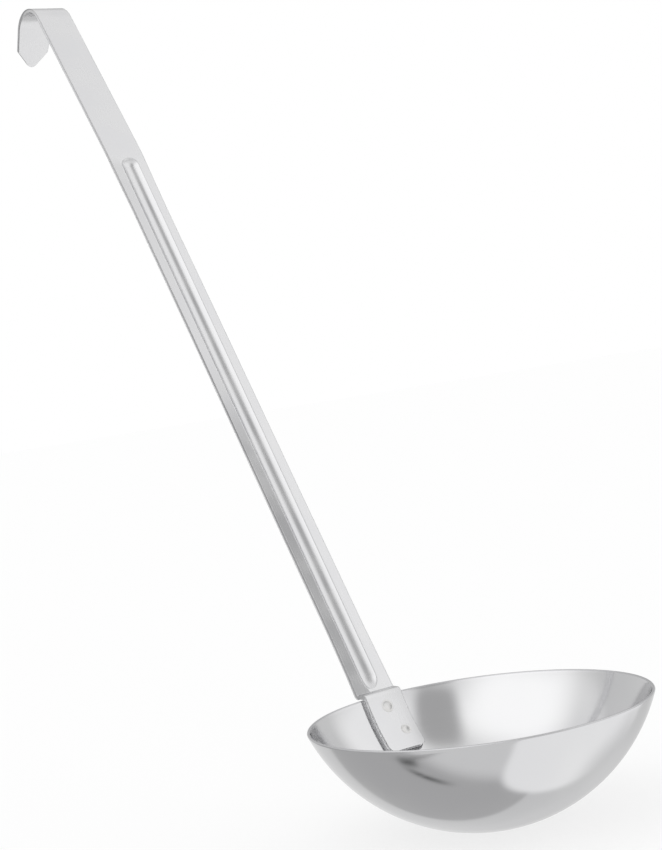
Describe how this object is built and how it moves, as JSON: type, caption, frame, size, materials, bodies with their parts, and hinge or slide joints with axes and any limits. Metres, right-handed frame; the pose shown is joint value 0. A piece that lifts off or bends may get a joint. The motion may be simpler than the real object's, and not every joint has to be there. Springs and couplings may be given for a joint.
{
  "type": "ladle",
  "caption": "Soup ladle: a round deep-drawn bowl with a long grooved strip handle that wraps over its rim, is spot-welded inside it and ends in a hanging hook",
  "frame": {"origin": "centre of the hook's bend, on the mid-plane of the strip", "axes": "+Z is the bowl's axis, from its lowest point up through its mouth; +Y runs along the strip's width and the hook's axis; the handle leans from the bowl towards -X"},
  "size_m": [0.3705, 0.136, 0.3848],
  "materials": {
    "polished_bowl": "polished",
    "satin_strip": "satin",
    "weld": "satin"
  },
  "bodies": {
    "root": {"bowl": "polished_bowl", "handle": "satin_strip", "upper_spot_weld": "weld", "lower_spot_weld": "weld"}
  },
  "joints": []
}
